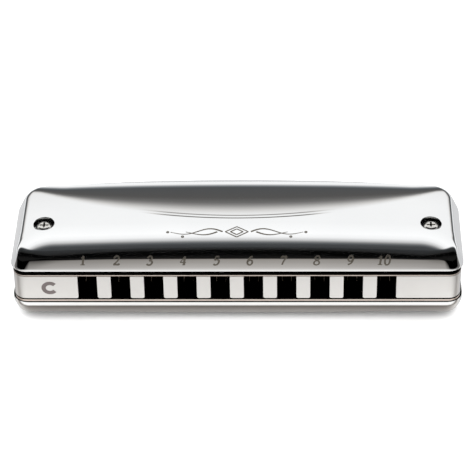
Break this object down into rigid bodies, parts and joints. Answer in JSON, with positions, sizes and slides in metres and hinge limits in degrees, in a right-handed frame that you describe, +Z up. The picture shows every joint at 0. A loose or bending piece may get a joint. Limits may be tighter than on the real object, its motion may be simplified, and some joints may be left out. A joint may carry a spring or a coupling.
{
  "type": "diatonic harmonica",
  "caption": "Slim diatonic harmonica with polished domed covers, a metal comb, screwed reed plates and swinging reeds.",
  "frame": {"origin": "below the middle of the instrument, at the lowest point of the lower cover", "axes": "+X along the row of holes towards the high notes, +Y away from the mouth side, +Z up"},
  "size_m": [0.1022, 0.028, 0.02],
  "materials": {
    "polished_cover": "polished plate",
    "comb_metal": "satin anodised",
    "plated_plate": "nickel plated, satin",
    "brass": "rolled, bare",
    "screw_steel": "nickel plated, bright"
  },
  "bodies": {
    "root": {"comb": "comb_metal", "upper_reed_plate": "plated_plate", "lower_reed_plate": "plated_plate", "upper_cover": "polished_cover", "lower_cover": "polished_cover", "upper_plate_screws": "screw_steel", "lower_plate_screws": "screw_steel", "cover_bushes": "brass", "left_cover_screw": "screw_steel", "right_cover_screw": "screw_steel", "left_cover_nut": "screw_steel", "right_cover_nut": "screw_steel", "blow_reed_roots": "brass", "blow_reed_rivets": "brass", "draw_reed_roots": "brass", "draw_reed_rivets": "brass"},
    "blow_reed_1": {"blow_reed_1": "brass"},
    "blow_reed_2": {"blow_reed_2": "brass"},
    "blow_reed_3": {"blow_reed_3": "brass"},
    "blow_reed_4": {"blow_reed_4": "brass"},
    "blow_reed_5": {"blow_reed_5": "brass"},
    "blow_reed_6": {"blow_reed_6": "brass"},
    "blow_reed_7": {"blow_reed_7": "brass"},
    "blow_reed_8": {"blow_reed_8": "brass"},
    "blow_reed_9": {"blow_reed_9": "brass"},
    "blow_reed_10": {"blow_reed_10": "brass"},
    "draw_reed_1": {"draw_reed_1": "brass"},
    "draw_reed_2": {"draw_reed_2": "brass"},
    "draw_reed_3": {"draw_reed_3": "brass"},
    "draw_reed_4": {"draw_reed_4": "brass"},
    "draw_reed_5": {"draw_reed_5": "brass"},
    "draw_reed_6": {"draw_reed_6": "brass"},
    "draw_reed_7": {"draw_reed_7": "brass"},
    "draw_reed_8": {"draw_reed_8": "brass"},
    "draw_reed_9": {"draw_reed_9": "brass"},
    "draw_reed_10": {"draw_reed_10": "brass"}
  },
  "joints": [
    {"name": "blow_reed_1_swing", "type": "hinge", "parent": "root", "child": "blow_reed_1", "pos_m": [-0.03375, -0.0079, 0.0129], "axis": [1, 0, 0], "range_deg": [-3, 3], "stiffness_Nm_per_rad": 0.0874},
    {"name": "blow_reed_2_swing", "type": "hinge", "parent": "root", "child": "blow_reed_2", "pos_m": [-0.02625, -0.0079, 0.0129], "axis": [1, 0, 0], "range_deg": [-3, 3], "stiffness_Nm_per_rad": 0.0925},
    {"name": "blow_reed_3_swing", "type": "hinge", "parent": "root", "child": "blow_reed_3", "pos_m": [-0.01875, -0.0079, 0.0129], "axis": [1, 0, 0], "range_deg": [-3, 3], "stiffness_Nm_per_rad": 0.0983},
    {"name": "blow_reed_4_swing", "type": "hinge", "parent": "root", "child": "blow_reed_4", "pos_m": [-0.01125, -0.0079, 0.0129], "axis": [1, 0, 0], "range_deg": [-3, 3], "stiffness_Nm_per_rad": 0.1048},
    {"name": "blow_reed_5_swing", "type": "hinge", "parent": "root", "child": "blow_reed_5", "pos_m": [-0.00375, -0.0079, 0.0129], "axis": [1, 0, 0], "range_deg": [-3, 3], "stiffness_Nm_per_rad": 0.1123},
    {"name": "blow_reed_6_swing", "type": "hinge", "parent": "root", "child": "blow_reed_6", "pos_m": [0.00375, -0.0079, 0.0129], "axis": [1, 0, 0], "range_deg": [-3, 3], "stiffness_Nm_per_rad": 0.121},
    {"name": "blow_reed_7_swing", "type": "hinge", "parent": "root", "child": "blow_reed_7", "pos_m": [0.01125, -0.0079, 0.0129], "axis": [1, 0, 0], "range_deg": [-3, 3], "stiffness_Nm_per_rad": 0.131},
    {"name": "blow_reed_8_swing", "type": "hinge", "parent": "root", "child": "blow_reed_8", "pos_m": [0.01875, -0.0079, 0.0129], "axis": [1, 0, 0], "range_deg": [-3, 3], "stiffness_Nm_per_rad": 0.1429},
    {"name": "blow_reed_9_swing", "type": "hinge", "parent": "root", "child": "blow_reed_9", "pos_m": [0.02625, -0.0079, 0.0129], "axis": [1, 0, 0], "range_deg": [-3, 3], "stiffness_Nm_per_rad": 0.1572},
    {"name": "blow_reed_10_swing", "type": "hinge", "parent": "root", "child": "blow_reed_10", "pos_m": [0.03375, -0.0079, 0.0129], "axis": [1, 0, 0], "range_deg": [-3, 3], "stiffness_Nm_per_rad": 0.1747},
    {"name": "draw_reed_1_swing", "type": "hinge", "parent": "root", "child": "draw_reed_1", "pos_m": [-0.03375, 0.00935, 0.0057], "axis": [1, 0, 0], "range_deg": [-3, 3], "stiffness_Nm_per_rad": 0.0874},
    {"name": "draw_reed_2_swing", "type": "hinge", "parent": "root", "child": "draw_reed_2", "pos_m": [-0.02625, 0.00841, 0.0057], "axis": [1, 0, 0], "range_deg": [-3, 3], "stiffness_Nm_per_rad": 0.0925},
    {"name": "draw_reed_3_swing", "type": "hinge", "parent": "root", "child": "draw_reed_3", "pos_m": [-0.01875, 0.00746, 0.0057], "axis": [1, 0, 0], "range_deg": [-3, 3], "stiffness_Nm_per_rad": 0.0983},
    {"name": "draw_reed_4_swing", "type": "hinge", "parent": "root", "child": "draw_reed_4", "pos_m": [-0.01125, 0.00652, 0.0057], "axis": [1, 0, 0], "range_deg": [-3, 3], "stiffness_Nm_per_rad": 0.1048},
    {"name": "draw_reed_5_swing", "type": "hinge", "parent": "root", "child": "draw_reed_5", "pos_m": [-0.00375, 0.00557, 0.0057], "axis": [1, 0, 0], "range_deg": [-3, 3], "stiffness_Nm_per_rad": 0.1123},
    {"name": "draw_reed_6_swing", "type": "hinge", "parent": "root", "child": "draw_reed_6", "pos_m": [0.00375, 0.00463, 0.0057], "axis": [1, 0, 0], "range_deg": [-3, 3], "stiffness_Nm_per_rad": 0.121},
    {"name": "draw_reed_7_swing", "type": "hinge", "parent": "root", "child": "draw_reed_7", "pos_m": [0.01125, 0.00368, 0.0057], "axis": [1, 0, 0], "range_deg": [-3, 3], "stiffness_Nm_per_rad": 0.131},
    {"name": "draw_reed_8_swing", "type": "hinge", "parent": "root", "child": "draw_reed_8", "pos_m": [0.01875, 0.00274, 0.0057], "axis": [1, 0, 0], "range_deg": [-3, 3], "stiffness_Nm_per_rad": 0.1429},
    {"name": "draw_reed_9_swing", "type": "hinge", "parent": "root", "child": "draw_reed_9", "pos_m": [0.02625, 0.00179, 0.0057], "axis": [1, 0, 0], "range_deg": [-3, 3], "stiffness_Nm_per_rad": 0.1572},
    {"name": "draw_reed_10_swing", "type": "hinge", "parent": "root", "child": "draw_reed_10", "pos_m": [0.03375, 0.00085, 0.0057], "axis": [1, 0, 0], "range_deg": [-3, 3], "stiffness_Nm_per_rad": 0.1747}
  ]
}
